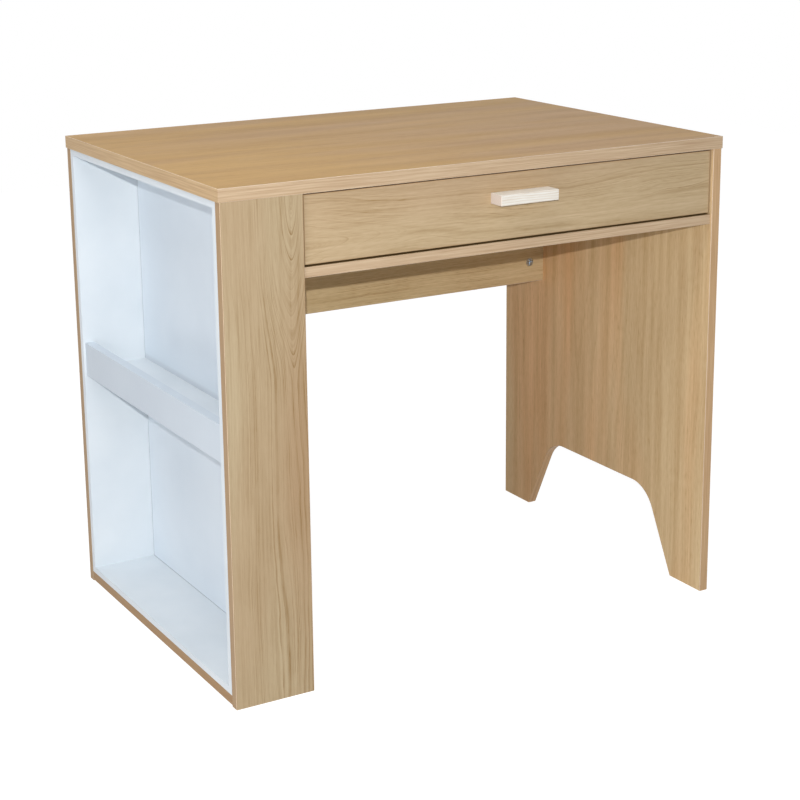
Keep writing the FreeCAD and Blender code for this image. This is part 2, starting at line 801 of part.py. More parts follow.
for side, cam_face in ((drawer_side_left, "+X"), (drawer_side_right, "-X")):
    drawer_cams.join(side, drawer_front, "-Y", cam_face, side.share(2, "drawer_cam_share"))
    peg = (side.middle(0), "0", side.share(2, "drawer_dowel_share"))
    drawer_dowels.join(side, drawer_front, "-Y", peg)

# Screws
runner_screw = screw_pattern(
    "runner_screw_pattern",
    "runner_screw_diameter",
    "runner_screw_length",
    "runner_screw_head_diameter",
    "runner_screw_head_height",
)
handle_screw = screw_pattern(
    "handle_screw_pattern",
    "handle_screw_diameter",
    "board_thickness + handle_screw_grip",
    "handle_screw_head_diameter",
    "handle_screw_head_height",
)
box_screw = screw_pattern(
    "box_screw_pattern",
    "box_screw_diameter",
    "box_screw_length",
    "box_screw_head_diameter",
    "box_screw_head_height",
)
handle_screws = Fasteners("handle_screws", handle_screw)
box_screws = Fasteners("drawer_box_screws", box_screw)
cabinet_runner_screws = Fasteners("cabinet_runner_screws", runner_screw)
drawer_runner_screws = Fasteners("drawer_runner_screws", runner_screw)

handle_bore = "handle_screw_diameter + 2 * fastener_clearance"
for x, _, z in handle_holes:
    drawer_front.drill("+Y", (x, "0", z), handle_bore, "board_thickness")
    handle.drill("+Y", (x, "0", z), handle_bore, "handle_screw_grip + hole_end_gap")
    handle_screws.add((x, "box_front", z), turned("-Y", "+Z"))

box_bore = "box_screw_diameter + 2 * fastener_clearance"
for side, towards in ((drawer_side_left, "+X"), (drawer_side_right, "-X")):
    outer = opposite(towards)
    for name in ("box_low_screw_share", "box_high_screw_share"):
        hole = (side.end(outer), drawer_back.middle(1), side.share(2, name))
        side.drill(outer, hole, box_bore, "drawer_board_thickness")
        depth = "box_screw_length - drawer_board_thickness + hole_end_gap"
        drawer_back.drill(outer, hole, box_bore, depth)
        box_screws.add(hole, turned(towards, "+Z"))

# Roller runners of the left side, drawn from the wall: a channel on the cabinet and a folded member
# on the drawer. The drawer's rear roller runs in the channel, and the drawer's upper flange rides
# on the cabinet's front roller.
cabinet_runner = new_body("cabinet_runner_left")
section = new_sketch(cabinet_runner, "XZ_Plane")
outline(section, [
    ("0", "0"), ("runner_depth", "0"), ("runner_depth", "runner_gauge"),
    ("runner_gauge", "runner_gauge"), ("runner_gauge", "runner_height - runner_gauge"),
    ("runner_depth", "runner_height - runner_gauge"), ("runner_depth", "runner_height"),
    ("0", "runner_height"),
])
pad(cabinet_runner, section, "runner_length", backwards=True)
relief = new_sketch(cabinet_runner, "XY_Plane", "runner_height")
relief_width = ("runner_gauge", "runner_depth + cut_overrun")
outline(relief, rectangle(relief_width, ("-cut_overrun", "roller_relief_length")))
pocket(cabinet_runner, relief, "runner_gauge", backwards=False)
place(cabinet_runner, ("bay_left", "cabinet_runner_front", "runner_floor"))

drawer_runner = new_body("drawer_runner_left")
section = new_sketch(drawer_runner, "XZ_Plane")
outline(section, [
    ("ride_flange_inset", "ride_floor"), ("runner_space - runner_gauge", "ride_floor"),
    ("runner_space - runner_gauge", "seat_height - runner_gauge"),
    ("runner_space + seat_flange", "seat_height - runner_gauge"),
    ("runner_space + seat_flange", "seat_height"), ("runner_space", "seat_height"),
    ("runner_space", "ride_floor + runner_gauge"),
    ("ride_flange_inset", "ride_floor + runner_gauge"),
])
pad(drawer_runner, section, "runner_length", backwards=True)
place(drawer_runner, ("bay_left", "box_front", "runner_floor"))

# Holes through the webs for the screws and the roller axles
screw_shares = ("runner_front_screw_share", "runner_middle_screw_share", "runner_rear_screw_share")
screw_bore = "runner_screw_diameter + 2 * fastener_clearance"
axle_bore = "axle_diameter + 2 * fastener_clearance"
cabinet_axle = ("roller_inset", "cabinet_roller_height")
drawer_axle = ("runner_length - roller_inset", "drawer_roller_height")
for runner, web, axle in (
    (cabinet_runner, "0", cabinet_axle),
    (drawer_runner, "runner_space - runner_gauge", drawer_axle),
):
    holes = new_sketch(runner, "YZ_Plane", web)
    for share in screw_shares:
        circle(holes, (f"runner_length * {share}", "runner_height / 2"), screw_bore)
    circle(holes, axle, axle_bore)
    pocket(runner, holes, "runner_gauge", backwards=True)

screw_depth = "runner_screw_length - runner_gauge + hole_end_gap"
screw_height = "runner_floor + runner_height / 2"
for wall, side, inward in ((divider, drawer_side_left, "+X"), (side_panel, drawer_side_right, "-X")):
    sign = inward[0]
    outer = opposite(inward)
    for share in screw_shares:
        seat = f"({wall.end(inward)}) {sign} runner_gauge"
        spot = (seat, f"cabinet_runner_front + runner_length * {share}", screw_height)
        wall.drill(inward, spot, screw_bore, screw_depth)
        cabinet_runner_screws.add(spot, turned(outer, "+Z"))
        seat = f"({wall.end(inward)}) {sign} (runner_space - runner_gauge)"
        spot = (seat, f"box_front + runner_length * {share}", screw_height)
        side.drill(outer, spot, screw_bore, screw_depth)
        drawer_runner_screws.add(spot, turned(inward, "+Z"))


def mirrored(label, source):
    """The right-hand twin of a left-hand piece, across the middle of the bay."""
    twin = doc.addObject("Part::Mirroring", label)
    twin.Label = label
    twin.Source = source
    twin.Normal = FreeCAD.Vector(1, 0, 0)
    bind(twin, "Base.x", "bay_middle")
    return twin


def roller_pattern(label):
    """Nylon roller with a running bore and a recess in its free end for the axle's head."""
    recess = "roller_width - roller_recess_depth"
    return revolve(label, [
        ("0", "bore_radius"), (recess, "bore_radius"), (recess, "recess_radius"),
        ("roller_width", "recess_radius"), ("roller_width", "roller_radius"), ("0", "roller_radius"),
    ])


def axle_pattern(label):
    """Riveted axle: its tail fills the web, a collar spaces the roller and a head keeps it on."""
    collar = "axle_collar_diameter / 2"
    head = "axle_head_diameter / 2"
    web = "-roller_side_gap"
    tail = f"{web} - runner_gauge"
    floor = "roller_width - roller_recess_depth + axle_end_gap"
    crown = f"{floor} + axle_head_thickness"
    return revolve(label, [
        (tail, "0"), (tail, "axle_radius"), (web, "axle_radius"), (web, collar),
        ("-axle_end_gap", collar), ("-axle_end_gap", "axle_radius"), (floor, "axle_radius"),
        (floor, head), (crown, head), (crown, "0"),
    ])


axle = axle_pattern("roller_axle_pattern")
cabinet_axles = Fasteners("cabinet_roller_axles", axle)
drawer_axles = Fasteners("drawer_roller_axles", axle)
rollers = []
for hand, wall, inward in (("left", "bay_left", "+"), ("right", "bay_right", "-")):
    outward = "-" if inward == "+" else "+"
    for name, face, spot, axles, free_end in (
        ("cabinet", "cabinet_roller_face", cabinet_axle, cabinet_axles, inward),
        ("drawer", "drawer_roller_face", drawer_axle, drawer_axles, outward),
    ):
        start = "cabinet_runner_front" if name == "cabinet" else "box_front"
        point = (f"{wall} {inward} {face}", f"{start} + {spot[0]}", f"runner_floor + {spot[1]}")
        roller = roller_pattern(f"{name}_roller_{hand}")
        turn = turned(free_end + "X", "+Z")
        place(roller, point, turn)
        axles.add(point, turn)
        rollers.append(roller)

# Edge bands
bands = {
    "desk_top_edge_bands": (
        (("top_left", "top_right"), ("front_face", "front_face + edge_band_thickness"), top.spans[2], "-Y"),
        (("top_left", "top_right"), ("rear_face - edge_band_thickness", "rear_face"), top.spans[2], "+Y"),
        (("top_left", "top_left + edge_band_thickness"), top.spans[1], top.spans[2], "-X"),
        (("top_right - edge_band_thickness", "top_right"), top.spans[1], top.spans[2], "+X"),
    ),
    "bookcase_bottom_edge_band": (
        (("carcass_left", "carcass_left + edge_band_thickness"), case_depth, bottom_panel.spans[2], "-X"),
    ),
    "drawer_shelf_edge_band": (
        (bay_width, ("shelf_front", "shelf_front + edge_band_thickness"), drawer_shelf.spans[2], "-Y"),
    ),
    "modesty_panel_edge_band": (
        (
            bay_width,
            modesty_panel.spans[1],
            ("modesty_bottom", "modesty_bottom + edge_band_thickness"),
            "-Z",
        ),
    ),
    "side_panel_edge_bands": (
        (
            side_panel.spans[0],
            ("front_face", "front_face + edge_band_thickness"),
            side_panel.spans[2],
            "-Y",
        ),
        (
            side_panel.spans[0],
            ("rear_face - edge_band_thickness", "rear_face"),
            side_panel.spans[2],
            "+Y",
        ),
    ),
    "drawer_front_edge_bands": (
        (
            ("front_left", "front_right"),
            drawer_front.spans[1],
            ("front_bottom", "front_bottom + edge_band_thickness"),
            "-Z",
        ),
        (
            ("front_left", "front_right"),
            drawer_front.spans[1],
            ("front_top - edge_band_thickness", "front_top"),
            "+Z",
        ),
        (
            ("front_left", "front_left + edge_band_thickness"),
            drawer_front.spans[1],
            drawer_front.spans[2],
            "-X",
        ),
        (
            ("front_right - edge_band_thickness", "front_right"),
            drawer_front.spans[1],
            drawer_front.spans[2],
            "+X",
        ),
    ),
}
for panel in (front_panel, rear_panel):
    bands[panel.body.Label + "_edge_bands"] = (
        (("carcass_left", "carcass_left + edge_band_thickness"), *panel.spans[1:], "-X"),
        (("case_right - edge_band_thickness", "case_right"), *panel.spans[1:], "+X"),
    )
band_groups = []
for label, strips in bands.items():
    members = [edge_band(f"{label}_{n}", *strip) for n, strip in enumerate(strips, start=1)]
    band_groups.append(group(label, members))

# The band of the arch follows its lines and arcs.
arch_band = new_body("arch_edge_band")
section = new_sketch(arch_band, "YZ_Plane")
inner_first, inner_last = arch_outline(section, "0")
outer_first, outer_last = arch_outline(section, "edge_band_thickness")
close_between(section, outer_first, 1, inner_first, 1)
close_between(section, outer_last, 2, inner_last, 2)
pad(arch_band, section, "board_thickness")
place(arch_band, ("bay_right", "front_face", "0"))

boards = (
    top, front_panel, rear_panel, bottom_panel, divider, drawer_shelf, modesty_panel, side_panel,
    back_lining, lining_front, lining_rear, lining_bottom, lining_top, bookcase_shelf, shelf_lip,
    drawer_front, drawer_side_left, drawer_side_right, drawer_back, drawer_bottom, handle,
)
for board in boards:
    board.bore_holes()
fasteners = (
    cams.cams, cams.bolts, drawer_cams.cams, drawer_cams.bolts, dowels.dowels, drawer_dowels.dowels,
    shelf_dowels.dowels, handle_screws, box_screws, cabinet_runner_screws, drawer_runner_screws,
    cabinet_axles, drawer_axles,
)
nodes = [board.body for board in boards] + band_groups + [arch_band] + rollers
nodes += [kind.gather() for kind in fasteners]
nodes += [cabinet_runner, mirrored("cabinet_runner_right", cabinet_runner)]
nodes += [drawer_runner, mirrored("drawer_runner_right", drawer_runner)]
doc.recompute()

for item in doc.Objects:
    if {"Invalid", "Error"} & set(item.State):
        raise ValueError(f"{item.Label} failed: {item.State}")
for node in nodes:
    if node.Shape.isNull() or not node.Shape.isValid():
        raise ValueError(f"{node.Label} has no valid shape")

os.makedirs("parts", exist_ok=True)
for node in nodes:
    node.Shape.exportStep(f"parts/{node.Label}.step")
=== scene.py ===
"""Kneehole desk with an end bookcase: its finishes, a plain studio and the camera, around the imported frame."""

import logging
import math
from dataclasses import dataclass, field, replace
from enum import Enum

import bpy
from mathutils import Matrix, Vector


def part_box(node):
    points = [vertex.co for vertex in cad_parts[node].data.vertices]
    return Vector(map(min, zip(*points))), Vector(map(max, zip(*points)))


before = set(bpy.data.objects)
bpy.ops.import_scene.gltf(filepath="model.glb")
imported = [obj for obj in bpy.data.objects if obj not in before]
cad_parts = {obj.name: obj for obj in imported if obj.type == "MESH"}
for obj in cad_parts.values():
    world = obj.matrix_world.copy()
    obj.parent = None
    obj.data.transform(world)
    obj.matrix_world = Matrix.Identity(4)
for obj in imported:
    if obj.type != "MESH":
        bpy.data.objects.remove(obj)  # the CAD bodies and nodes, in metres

log = logging.getLogger("kneehole_desk")

MM = 0.001  # a millimetre in Blender's metres
PER_METRE = 1000.0  # millimetres in a metre
WHITE = "#ffffff"

FIRST, SECOND, MIXED = 6, 7, 2  # the two colours that a Mix node takes, and the one that it gives
# The parts of a noise texture's values that the patterns are drawn from.
SPAN = (0.30, 0.70)  # nearly all of them
WORN = (0.36, 0.62)  # from where the rings are faint to where they are clear
TONED = (0.36, 0.64)  # from the lighter stripes to the rosier ones
CLOUDED = (0.35, 0.65)  # from a coat's own colour to its cloud
PITTED = (0.60, 0.74)  # the peaks alone, which are the pores

Triple = tuple[float, float, float]
Feed = bpy.types.NodeSocket | float | tuple | None

X: Triple = (1.0, 0.0, 0.0)
Y: Triple = (0.0, 1.0, 0.0)
Z: Triple = (0.0, 0.0, 1.0)
LEFT: Triple = (-1.0, 0.0, 0.0)
XY: Triple = (1.0, 1.0, 0.0)
XZ: Triple = (1.0, 0.0, 1.0)
YZ: Triple = (0.0, 1.0, 1.0)


def linear(code: str) -> tuple[float, float, float, float]:
    """Turn an sRGB hex colour to the linear values that shaders take.

    Args:
        code: The colour as #rrggbb.

    Returns:
        Red, green, blue and a full alpha.
    """
    parts = (int(code[at:at + 2], 16) / 255.0 for at in (1, 3, 5))
    red, green, blue = (p / 12.92 if p <= 0.04045 else ((p + 0.055) / 1.055) ** 2.4 for p in parts)
    return red, green, blue, 1.0


def wire(tree: bpy.types.NodeTree, kind: str, *feeds: Feed, out: int | str = 0,
         ports: dict[int | str, Feed] | None = None, **settings: object) -> bpy.types.NodeSocket:
    """Add one shader node with its settings and links.

    Args:
        tree: The node tree of a material or of the world.
        kind: The node's type without its ShaderNode prefix.
        feeds: What goes to its first inputs in order: a socket to link, a value to set, or None to leave one.
        out: The output to hand back.
        ports: What goes to further inputs, by name or number.
        settings: The node's own properties.

    Returns:
        The chosen output socket.
    """
    node = tree.nodes.new("ShaderNode" + kind)
    for name, value in settings.items():
        setattr(node, name, value)
    for port, feed in [*enumerate(feeds), *(ports or {}).items()]:
        if isinstance(feed, bpy.types.NodeSocket):
            tree.links.new(feed, node.inputs[port])
        elif feed is not None:
            node.inputs[port].default_value = feed
    return node.outputs[out] if node.outputs else None


@dataclass(frozen=True)
class Lay:
    """How grain runs on a piece: weights of X, Y and Z along the grain, across it and through the board."""

    along: Triple
    across: Triple
    through: Triple

    def measured(self, tree: bpy.types.NodeTree) -> list[bpy.types.NodeSocket]:
        """Measure along the grain and across it.

        Args:
            tree: The material's node tree.

        Returns:
            Both places on the piece, in millimetres.
        """
        place = wire(tree, "TexCoord", out="Object")
        return [
            wire(tree, "VectorMath", place, tuple(PER_METRE * w for w in way), operation="DOT_PRODUCT", out="Value")
            for way in (self.along, self.across)
        ]


class Grain(Enum):
    """The ways that the woodgrain sheets and edge bands are laid on this desk."""

    LEVEL_BOARD = Lay(X, Y, Z)
    UPRIGHT_FRONT = Lay(Z, X, Y)
    UPRIGHT_SIDE = Lay(Z, Y, X)
    LEVEL_FRONT = Lay(X, Z, Y)
    UPRIGHT_RIM = Lay(Z, XY, Y)
    SIDE_RIM = Lay(Z, XY, X)
    LEVEL_RIM = Lay(XY, Z, Z)
    HANGING_RIM = Lay(X, Y, Y)
    DRAWER_RIM = Lay(XZ, Y, Y)
    ARCH_RIM = Lay(YZ, X, X)


@dataclass(frozen=True)
class Figure:
    """The figure of one printed woodgrain sheet: lengths in millimetres, and how strongly each part shows, up to 1."""

    heart_along: float  # where the arches start
    heart_across: float
    reach: float = 600.0  # how far along the sheet they rise, and by how much
    rise: float = 30.0
    spread: float = 400.0  # how far to each side they are clear
    fade: float = 1.5  # where they have faded, in spreads
    beyond: float = 0.28  # what is left of them there
    tip: float = 0.6  # how blunt their tips are, in rings
    pointed: float = 0.3  # from round tips to pointed ones
    ring: float = 6.0  # the width of a year's ring
    pace: float = 0.41  # how often that width changes, per ring, and by how many rings
    uneven: float = 1.7
    late: float = 0.30  # the part of a ring where its dark wood starts, and where it ends
    late_end: float = 0.92
    faint: float = 0.2  # what is left of the faintest ring
    fine: float = 3.0  # the finer lines in each ring, the part of a line where it darkens, and how they show
    fine_from: float = 0.45
    fine_end: float = 0.95
    fine_show: float = 0.3
    sway: float = 14.0  # how far the grain wanders, in long waves and in short ones
    ripple: float = 2.0
    streak: float = 12.0  # the width of the soft streaks
    ring_show: float = 0.50
    streak_show: float = 0.25
    fibre_show: float = 0.14
    fleck_show: float = 0.16
    pore_show: float = 0.30
    vein: float = 16.0  # the way between the long veins, and the part of it that darkens
    vein_from: float = 0.55
    vein_end: float = 0.94
    vein_show: float = 0.0
    blush: tuple[float, float, float, float] = (0.0, 0.0, 1000.0, 200.0)  # a rosier patch: its middle, its size
    blush_end: float = 1.2
    blush_show: float = 0.85
    stripe: float = 170.0  # the width of the rosier stripes, and how much they differ
    mottle: float = 0.3
    seed: float = 0.0


@dataclass(frozen=True)
class Tone:
    """The colours of one printed sheet: its light ground, the rosier ground beside it and its rings."""

    light: str
    rosy: str
    ring: str


@dataclass(frozen=True)
class Finish:
    """A finish that is painted once and shared by the pieces that have it.

    The faces that look the way that turned says are tinted, which is painted light and shade: a side lit in a cooler
    light made warmer, or a face in a dark gap made darker.
    """

    name: str
    turned: Triple = field(default=Z, kw_only=True)
    painted_tint: str = field(default=WHITE, kw_only=True)

    def start(self) -> tuple[bpy.types.Material, bpy.types.NodeTree, bpy.types.Node]:
        """Make the empty material with its surface shader.

        Returns:
            The material, its node tree and its surface shader node.
        """
        made = bpy.data.materials.new(self.name)
        made.use_nodes = True
        tree = made.node_tree
        surface = next(node for node in tree.nodes if node.type == "BSDF_PRINCIPLED")
        return made, tree, surface

    def apply_painted_tint(self, tree: bpy.types.NodeTree, colour: bpy.types.NodeSocket) -> bpy.types.NodeSocket:
        """Tint the faces that look the way that turned says: painted light and shade.

        Args:
            tree: The material's node tree.
            colour: The colour before the tint.

        Returns:
            The colour with its tint.
        """
        if self.painted_tint == WHITE:
            return colour
        facing = wire(tree, "NewGeometry", out="Normal")
        share = wire(tree, "VectorMath", facing, self.turned, operation="DOT_PRODUCT", out="Value")
        share = wire(tree, "MapRange", share, 0.0, 1.0, 0.0, 1.0)
        return wire(
            tree, "Mix", share, ports={FIRST: colour, SECOND: linear(self.painted_tint)}, out=MIXED, data_type="RGBA",
            blend_type="MULTIPLY",
        )

    def material(self) -> bpy.types.Material:
        """Paint the finish when it is first asked for.

        Returns:
            The painted material.
        """
        if self not in painted:
            painted[self] = self.paint()
        return painted[self]

    def paint(self) -> bpy.types.Material:
        """Make the material; each kind of finish has its own way."""
        raise NotImplementedError


painted: dict[Finish, bpy.types.Material] = {}


@dataclass(frozen=True)
class OakLaminate(Finish):
    """Melamine-faced chipboard with a printed light oak sheet: silky, with flat rings, fine streaks and pores."""

    grain: Grain
    figure: Figure
    tone: Tone
    roughness: float = 0.44
    shine: float = 0.06
    sheen: float = 0.05  # how much the roughness varies
    relief: float = 0.12
    depth: float = 0.3  # of the pressed pores, in millimetres

    def offset(
        self, tree: bpy.types.NodeTree, across: bpy.types.NodeSocket, drawn: dict[str, bpy.types.NodeSocket],
    ) -> bpy.types.NodeSocket:
        """Measure from the heart across the sheet, along grain that wanders.

        Args:
            tree: The material's node tree.
            across: The place across the grain, in millimetres.
            drawn: The sheet's noises.

        Returns:
            The distance to one side, in millimetres.
        """
        drift = [
            wire(tree, "MapRange", drawn[what], 0.0, 1.0, -reach, reach, clamp=False)
            for what, reach in (("sway", self.figure.sway), ("ripple", self.figure.ripple))
        ]
        moved = wire(tree, "Math", *drift, operation="ADD")
        straight = wire(tree, "Math", across, self.figure.heart_across, operation="SUBTRACT")
        return wire(tree, "Math", straight, moved, operation="ADD")

    def rings(
        self, tree: bpy.types.NodeTree, along: bpy.types.NodeSocket, offset: bpy.types.NodeSocket,
        clear: bpy.types.NodeSocket,
    ) -> bpy.types.NodeSocket:
        """Draw the years' rings: arches over the heart, which turn to long lines beside it.

        Args:
            tree: The material's node tree.
            along: The place along the grain, in millimetres.
            offset: The distance from the heart across the grain.
            clear: How clear the print is at each place.

        Returns:
            How dark the rings are.
        """
        figure = self.figure
        blunt = wire(tree, "CombineXYZ", offset, figure.tip * figure.ring, 0.0)
        beside = wire(tree, "VectorMath", blunt, operation="LENGTH", out="Value")
        below = wire(
            tree, "MapRange", along, figure.heart_along, figure.heart_along + figure.reach, 0.0, figure.rise,
            interpolation_type="SMOOTHSTEP",
        )
        # Between round and pointed tips, as on a flat-sawn sheet.
        arch = wire(tree, "CombineXYZ", beside, below, 0.0)
        round_tips = wire(tree, "VectorMath", arch, operation="LENGTH", out="Value")
        sharp_tips = wire(tree, "Math", beside, below, operation="ADD")
        radius = wire(tree, "Mix", figure.pointed, None, round_tips, sharp_tips, data_type="FLOAT")
        years = wire(tree, "Math", radius, 1.0 / figure.ring, operation="MULTIPLY")
        pace = wire(tree, "Math", years, figure.pace, operation="MULTIPLY")
        uneven = wire(tree, "TexNoise", ports={"W": pace, "Detail": 0.0}, noise_dimensions="1D")
        years = wire(tree, "Math", uneven, figure.uneven, years, operation="MULTIPLY_ADD")
        age = wire(tree, "Math", years, operation="FRACT")
        rise = wire(tree, "MapRange", age, figure.late, figure.late_end, 0.0, 1.0, interpolation_type="SMOOTHSTEP")
        fall = wire(tree, "MapRange", age, figure.late_end, 1.0, 1.0, 0.0)
        year = wire(tree, "Math", years, operation="FLOOR")
        each = wire(tree, "TexWhiteNoise", ports={"W": year}, noise_dimensions="1D")
        each = wire(tree, "MapRange", each, 0.0, 1.0, figure.faint, 1.0)
        lines = wire(tree, "Math", years, figure.fine, operation="MULTIPLY")
        lines = wire(tree, "Math", lines, operation="FRACT")
        lines = wire(tree, "MapRange", lines, figure.fine_from, figure.fine_end, 0.0, figure.fine_show)
        near = wire(tree, "MapRange", beside, figure.spread, figure.fade * figure.spread, 1.0, figure.beyond)
        rings = wire(tree, "Math", rise, fall, operation="MULTIPLY")
        rings = wire(tree, "Math", rings, each, lines, operation="MULTIPLY_ADD")
        for part in (clear, near):
            rings = wire(tree, "Math", rings, part, operation="MULTIPLY")
        return rings

    def veins(self, tree: bpy.types.NodeTree, offset: bpy.types.NodeSocket) -> bpy.types.NodeSocket:
        """Draw the long veins beside the arches.

        Args:
            tree: The material's node tree.
            offset: The distance from the heart across the grain.

        Returns:
            How dark the veins are.
        """
        figure = self.figure
        layer = wire(tree, "Math", offset, 1.0 / figure.vein, operation="MULTIPLY")
        layer = wire(tree, "Math", layer, operation="FRACT")
        rise = wire(
            tree, "MapRange", layer, figure.vein_from, figure.vein_end, 0.0, figure.vein_show,
            interpolation_type="SMOOTHSTEP",
        )
        fall = wire(tree, "MapRange", layer, figure.vein_end, 1.0, 1.0, 0.0)
        return wire(tree, "Math", rise, fall, operation="MULTIPLY")

    def ground(
        self, tree: bpy.types.NodeTree, sheet: bpy.types.NodeSocket, tone: bpy.types.NodeSocket,
    ) -> bpy.types.NodeSocket:
        """Lay the light ground with its rosier blush and stripes.

        Args:
            tree: The material's node tree.
            sheet: The place on the sheet, in millimetres.
            tone: The noise of the stripes.

        Returns:
            The ground's colour.
        """
        figure = self.figure
        middle_along, middle_across, long, wide = figure.blush
        patch = wire(
            tree, "Mapping", sheet, vector_type="TEXTURE",
            ports={"Location": (middle_along, middle_across, figure.seed), "Scale": (long, wide, 1.0)},
        )
        away = wire(tree, "VectorMath", patch, operation="LENGTH", out="Value")
        blush = wire(
            tree, "MapRange", away, 0.0, figure.blush_end, figure.blush_show, 0.0, interpolation_type="SMOOTHSTEP",
        )
        mottle = wire(tree, "MapRange", tone, *TONED, -figure.mottle, figure.mottle)
        warm = wire(tree, "Math", blush, mottle, operation="ADD", use_clamp=True)
        return wire(
            tree, "Mix", warm, ports={FIRST: linear(self.tone.light), SECOND: linear(self.tone.rosy)}, out=MIXED,
            data_type="RGBA",
        )

    def paint(self) -> bpy.types.Material:
        """Draw the rings, the veins, the streaks and the pores of the printed sheet.

        Returns:
            The finished material.
        """
        made, tree, surface = self.start()
        figure = self.figure
        along, across = self.grain.value.measured(tree)
        sheet = wire(tree, "CombineXYZ", along, across, figure.seed)
        # Each noise has the length and width of what it draws, in millimetres, and its detail. Fibres are about
        # 0.3 mm wide and pores 0.2 mm on the real sheet; both are drawn coarser, so that they show in the render.
        sizes = {
            "sway": (460.0, 95.0, 1.0), "ripple": (110.0, 28.0, 3.0), "tone": (620.0, figure.stripe, 1.0),
            "clear": (150.0, 36.0, 2.0), "streak": (480.0, figure.streak, 2.0), "fibre": (80.0, 2.6, 2.0),
            "pore": (15.0, 1.9, 1.0),
        }
        drawn = {
            what: wire(
                tree, "TexNoise", wire(tree, "Mapping", sheet, ports={"Scale": (1.0 / long, 1.0 / wide, 1.0)}),
                ports={"Scale": 1.0, "Detail": detail},
            )
            for what, (long, wide, detail) in sizes.items()
        }
        offset = self.offset(tree, across, drawn)
        clear = wire(tree, "MapRange", drawn["clear"], *WORN, figure.faint, 1.0)
        rings = self.rings(tree, along, offset, clear)
        shade = wire(tree, "Math", rings, figure.ring_show, operation="MULTIPLY")
        shade = wire(tree, "Math", self.veins(tree, offset), clear, shade, operation="MULTIPLY_ADD")
        shows = {"streak": figure.streak_show, "fibre": figure.fibre_show, "pore": figure.fleck_show}
        for what, show in shows.items():
            level = wire(tree, "MapRange", drawn[what], *SPAN, 0.0, show)
            shade = wire(tree, "Math", shade, level, operation="ADD")
        pores = wire(tree, "MapRange", drawn["pore"], *PITTED, 0.0, figure.pore_show)
        dark = wire(tree, "Math", pores, rings, shade, operation="MULTIPLY_ADD", use_clamp=True)
        ground = self.ground(tree, sheet, drawn["tone"])
        colour = wire(
            tree, "Mix", dark, ports={FIRST: ground, SECOND: linear(self.tone.ring)}, out=MIXED, data_type="RGBA",
        )
        silk = wire(
            tree, "MapRange", drawn["fibre"], *SPAN, self.roughness - self.sheen, self.roughness + self.sheen,
        )
        relief = wire(
            tree, "Bump", ports={"Strength": self.relief, "Distance": self.depth * MM, "Height": dark}, invert=True,
        )
        tree.links.new(self.apply_painted_tint(tree, colour), surface.inputs["Base Color"])
        tree.links.new(silk, surface.inputs["Roughness"])
        tree.links.new(relief, surface.inputs["Normal"])
        surface.inputs["Specular IOR Level"].default_value = self.shine
        return made


@dataclass(frozen=True)
class Streak:
    """The streaks of an edge band: length and width in millimetres, the part of the noise they take, their strength."""

    long: float
    wide: float
    low: float
    high: float
    show: float


@dataclass(frozen=True)
class OakEdgeBand(Finish):
    """Printed edge band glued on the cut edges: straight fine streaks, and a colour of its own on the arris, pale on
    most bands: partly its scraped edge, partly a painted highlight.
    """

    grain: Grain
    light: str = "#cdb596"
    line: str = "#9b7855"
    arris: str = "#e6d6bf"
    roughness: float = 0.46
    shine: float = 0.25
    relief: float = 0.15
    depth: float = 0.2  # of the streaks, in millimetres
    arris_show: float = 3.2  # how strongly the arris's colour shows: its scraped edge and its painted highlight
    # A little coarser than on the real band, so that they show.
    broad: Streak = Streak(long=150.0, wide=2.4, low=0.35, high=0.66, show=0.34)
    thin: Streak = Streak(long=60.0, wide=1.2, low=0.38, high=0.68, show=0.30)

    def paint(self) -> bpy.types.Material:
        """Draw the streaks along the band and the pale arris.

        Returns:
            The finished material.
        """
        made, tree, surface = self.start()
        lay = self.grain.value
        strip = wire(tree, "CombineXYZ", *lay.measured(tree), 0.0)
        levels = []
        for streak in (self.broad, self.thin):
            sized = wire(tree, "Mapping", strip, ports={"Scale": (1.0 / streak.long, 1.0 / streak.wide, 1.0)})
            drawn = wire(tree, "TexNoise", sized, ports={"Scale": 1.0, "Detail": 2.0})
            levels.append(wire(tree, "MapRange", drawn, streak.low, streak.high, 0.0, streak.show))
        shade = wire(tree, "Math", *levels, operation="ADD")
        colour = wire(
            tree, "Mix", shade, ports={FIRST: linear(self.light), SECOND: linear(self.line)}, out=MIXED,
            data_type="RGBA",
        )
        # The arris is where the surface turns from the band's face to the board's. Its colour there stands partly for
        # the scraped edge and partly for a painted highlight.
        facing = wire(tree, "NewGeometry", out="Normal")
        slope = wire(tree, "VectorMath", facing, lay.through, operation="DOT_PRODUCT", out="Value")
        square = wire(tree, "Math", slope, slope, operation="MULTIPLY")
        rest = wire(tree, "Math", 1.0, square, operation="SUBTRACT")
        turning = wire(tree, "Math", square, rest, operation="MULTIPLY")
        arris_share = wire(tree, "Math", turning, self.arris_show, operation="MULTIPLY")
        colour = wire(
            tree, "Mix", arris_share, ports={FIRST: colour, SECOND: linear(self.arris)}, out=MIXED, data_type="RGBA",
        )
        relief = wire(
            tree, "Bump", ports={"Strength": self.relief, "Distance": self.depth * MM, "Height": shade}, invert=True,
        )
        tree.links.new(self.apply_painted_tint(tree, colour), surface.inputs["Base Color"])
        tree.links.new(relief, surface.inputs["Normal"])
        surface.inputs["Roughness"].default_value = self.roughness
        surface.inputs["Specular IOR Level"].default_value = self.shine
        return made


@dataclass(frozen=True)
class JointShade:
    """A plane where a board meets another, in millimetres, and the line drawn along it: a thin dark joint, and where it
    is wide, a band of painted shade.
    """

    axis: Triple
    at: float
    width: float = 0.9
    colour: str = "#8d979c"
    full: float = 0.5  # how far to each side it is full, and where it is gone, in widths
    gone: float = 1.5


